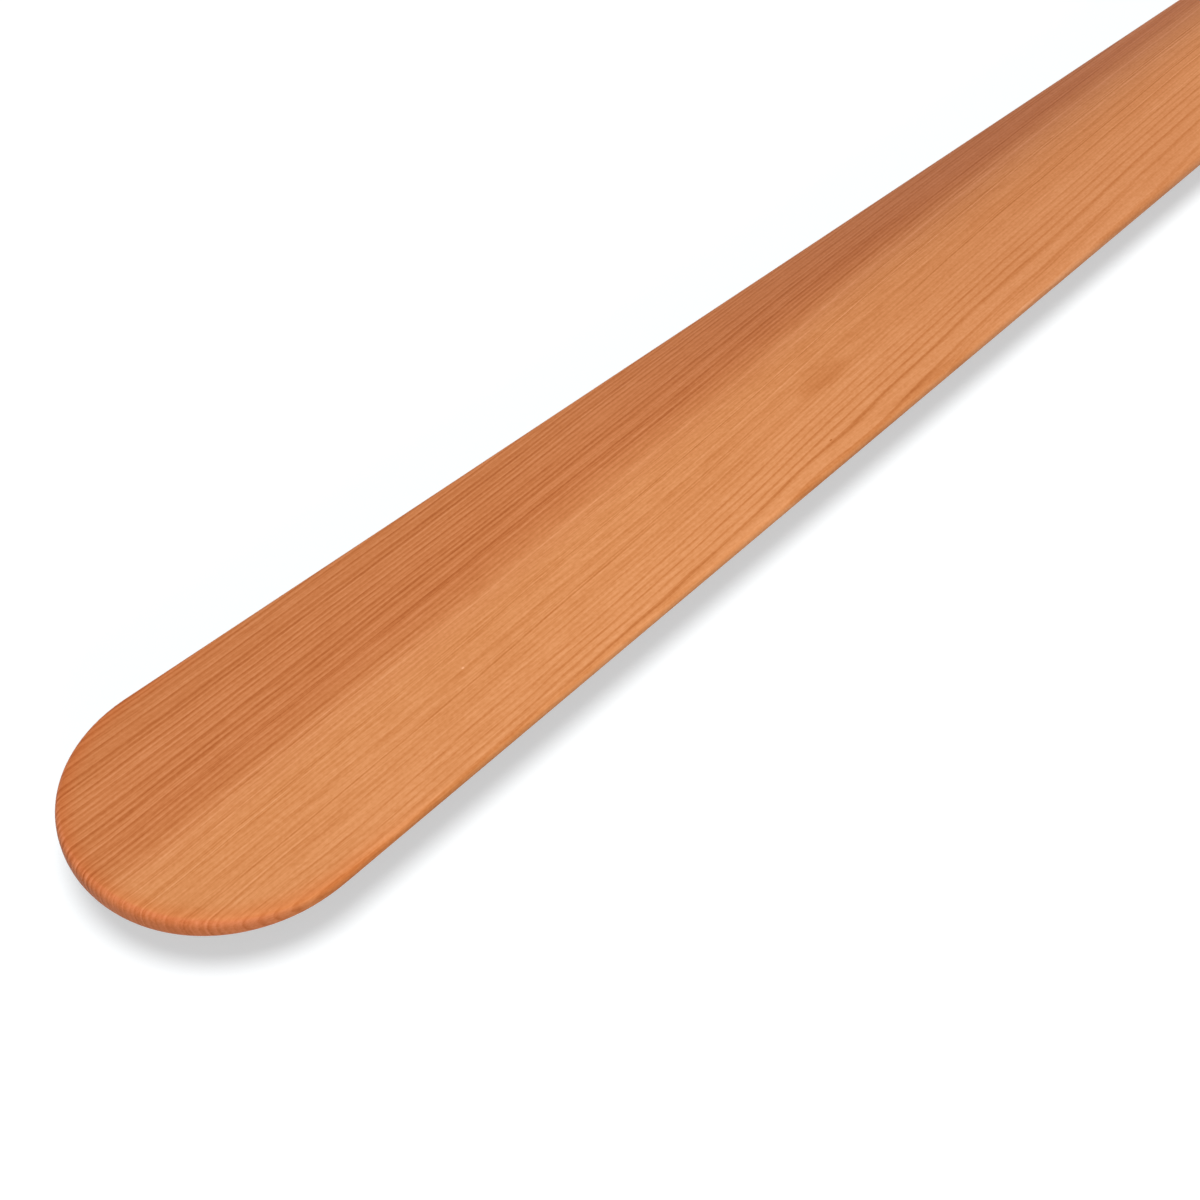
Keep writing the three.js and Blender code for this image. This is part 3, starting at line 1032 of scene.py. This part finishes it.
@dataclass
class Studio:
    """The table, the lamps and the camera, whose angles are in degrees and whose lens is in millimetres."""

    tip_x: float
    axis_height: float
    table_size: float = 14.0
    eye_from_tip: Point = (-0.12525, -0.29103, 0.41124)
    elevation: float = 46.468
    heading: float = -46.897
    lens: float = 60.0
    sensor_width: float = 36.0
    clip: Span = (0.01, 50.0)
    overhead: Lamp = Lamp("overhead", 2.0, 30.0, 2.0, -115.0)
    key: Lamp = Lamp("key", 1.27, 24.0, 77.0, -115.0)
    sky_strength: float = 0.22

    def table(self) -> Object:
        """Lay the white table under the paddle."""
        half = self.table_size / 2
        corners = [(-half, -half, 0), (half, -half, 0), (half, half, 0), (-half, half, 0)]
        mesh = bpy.data.meshes.new("table")
        mesh.from_pydata(corners, [], [(0, 1, 2, 3)])
        mesh.materials.append(Table().build())
        table = linked("table", mesh)
        return table

    def lamps(self) -> None:
        """Hang a lamp overhead and a low one, in a soft even sky that the camera sees as white."""
        for lamp in (self.overhead, self.key):
            lamp.light()
        world = bpy.data.worlds.new("studio")
        world.use_nodes = True
        bpy.context.scene.world = world
        world.node_tree.nodes.clear()
        graph = Graph(world.node_tree)
        seen = graph.background_rays()
        strength = seen + (1.0 - seen) * self.sky_strength
        sky = graph.node("ShaderNodeBackground", None, {"Color": (1.0, 1.0, 1.0, 1.0), "Strength": strength})
        graph.node("ShaderNodeOutputWorld", None, {"Surface": sky.outputs[0]})

    def camera(self) -> Object:
        """Set the camera where the photograph was taken from."""
        data = bpy.data.cameras.new("camera")
        data.lens, data.sensor_width = self.lens, self.sensor_width
        data.clip_start, data.clip_end = self.clip
        camera = linked("camera", data)
        camera.location = Vector((self.tip_x, 0, self.axis_height)) + Vector(self.eye_from_tip)
        camera.rotation_euler = (math.radians(90 - self.elevation), 0, math.radians(self.heading))
        bpy.context.scene.camera = camera
        return camera


LEFT_MARKS = (
    Mark(274, -13, 16.0, 5.0, -0.10), Mark(255, -31.5, 0.8, 0.35, -0.40), Mark(113, -17, 0.6, 0.4, 0.30),
    Mark(298, -35.5, 26.0, 1.8, -0.10), Mark(332, 21, 40.0, 3.6, -0.05),
)
RIGHT_MARKS = (
    Mark(402, 11, 11.0, 3.0, -0.06), Mark(168, 20, 0.8, 0.4, -0.35), Mark(240, -34, 24.0, 1.8, -0.09),
)


def build_paddle(gap: float = 0.3 * MM, sleeve_wall: float = 1.8 * MM, spigot_wall: float = 1.5 * MM,
                 pad_reach: float = 6.5 * MM, inset: float = 0.03 * MM, right_seed: float = 2600.0) -> None:
    """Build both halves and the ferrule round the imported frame.

    Args:
        gap: the clearance between pieces.
        sleeve_wall: the sleeve's wall.
        spigot_wall: the spigot's wall.
        pad_reach: how far the button's middle lies from the end of its strip.
        inset: how far the blade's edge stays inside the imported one.
        right_seed: where the right half's plank lies in the noise, with the left half's at 0.
    """
    low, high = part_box("left_half")
    axis_height = (low.z + high.z) / 2
    sleeve_bore = axis_height - sleeve_wall
    spigot_bore = sleeve_bore - gap - spigot_wall
    shared = {
        "half_length": -low.x, "tip_half_width": (high.y - low.y) / 2 - inset, "axis_height": axis_height,
        "shoulder_x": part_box("spigot_collar")[1].x + gap, "tenon_x": -high.x,
    }
    left = PaddleHalf("left_half_cedar", Body.LEFT, 1.0, sleeve_bore - gap, **shared)
    right = PaddleHalf("right_half_cedar", Body.RIGHT, -1.0, spigot_bore - gap, **shared)
    for half, seed, marks in ((left, 0.0, LEFT_MARKS), (right, right_seed, RIGHT_MARKS)):
        half.build(Cedar(half.name, half.flip, half.half_length / MM, axis_height / MM, seed, marks))
    ferrule = Ferrule(axis_height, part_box("snap_button")[0].x + pad_reach)
    carbon = Carbon("carbon_twill", axis_height / MM).build()
    ferrule.tube("carbon_sleeve", "ferrule_sleeve", sleeve_bore, Body.LEFT, True, carbon)
    ferrule.tube("carbon_spigot", "ferrule_spigot", spigot_bore, Body.RIGHT, True, carbon)
    ferrule.tube("carbon_collar", "spigot_collar", sleeve_bore, Body.RIGHT, False, carbon)
    ferrule.plug(Foam("plug_foam").build())
    ferrule.button(SpringSteel("spring_steel").build())


def main() -> None:
    """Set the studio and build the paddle."""
    logging.basicConfig(level=logging.INFO, format="%(name)s: %(message)s")
    low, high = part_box("left_half")
    studio = Studio(low.x, (low.z + high.z) / 2)
    studio.camera()
    studio.table()
    studio.lamps()
    bpy.context.scene.view_settings.view_transform = "Standard"
    build_paddle()


if __name__ == "__main__":
    main()
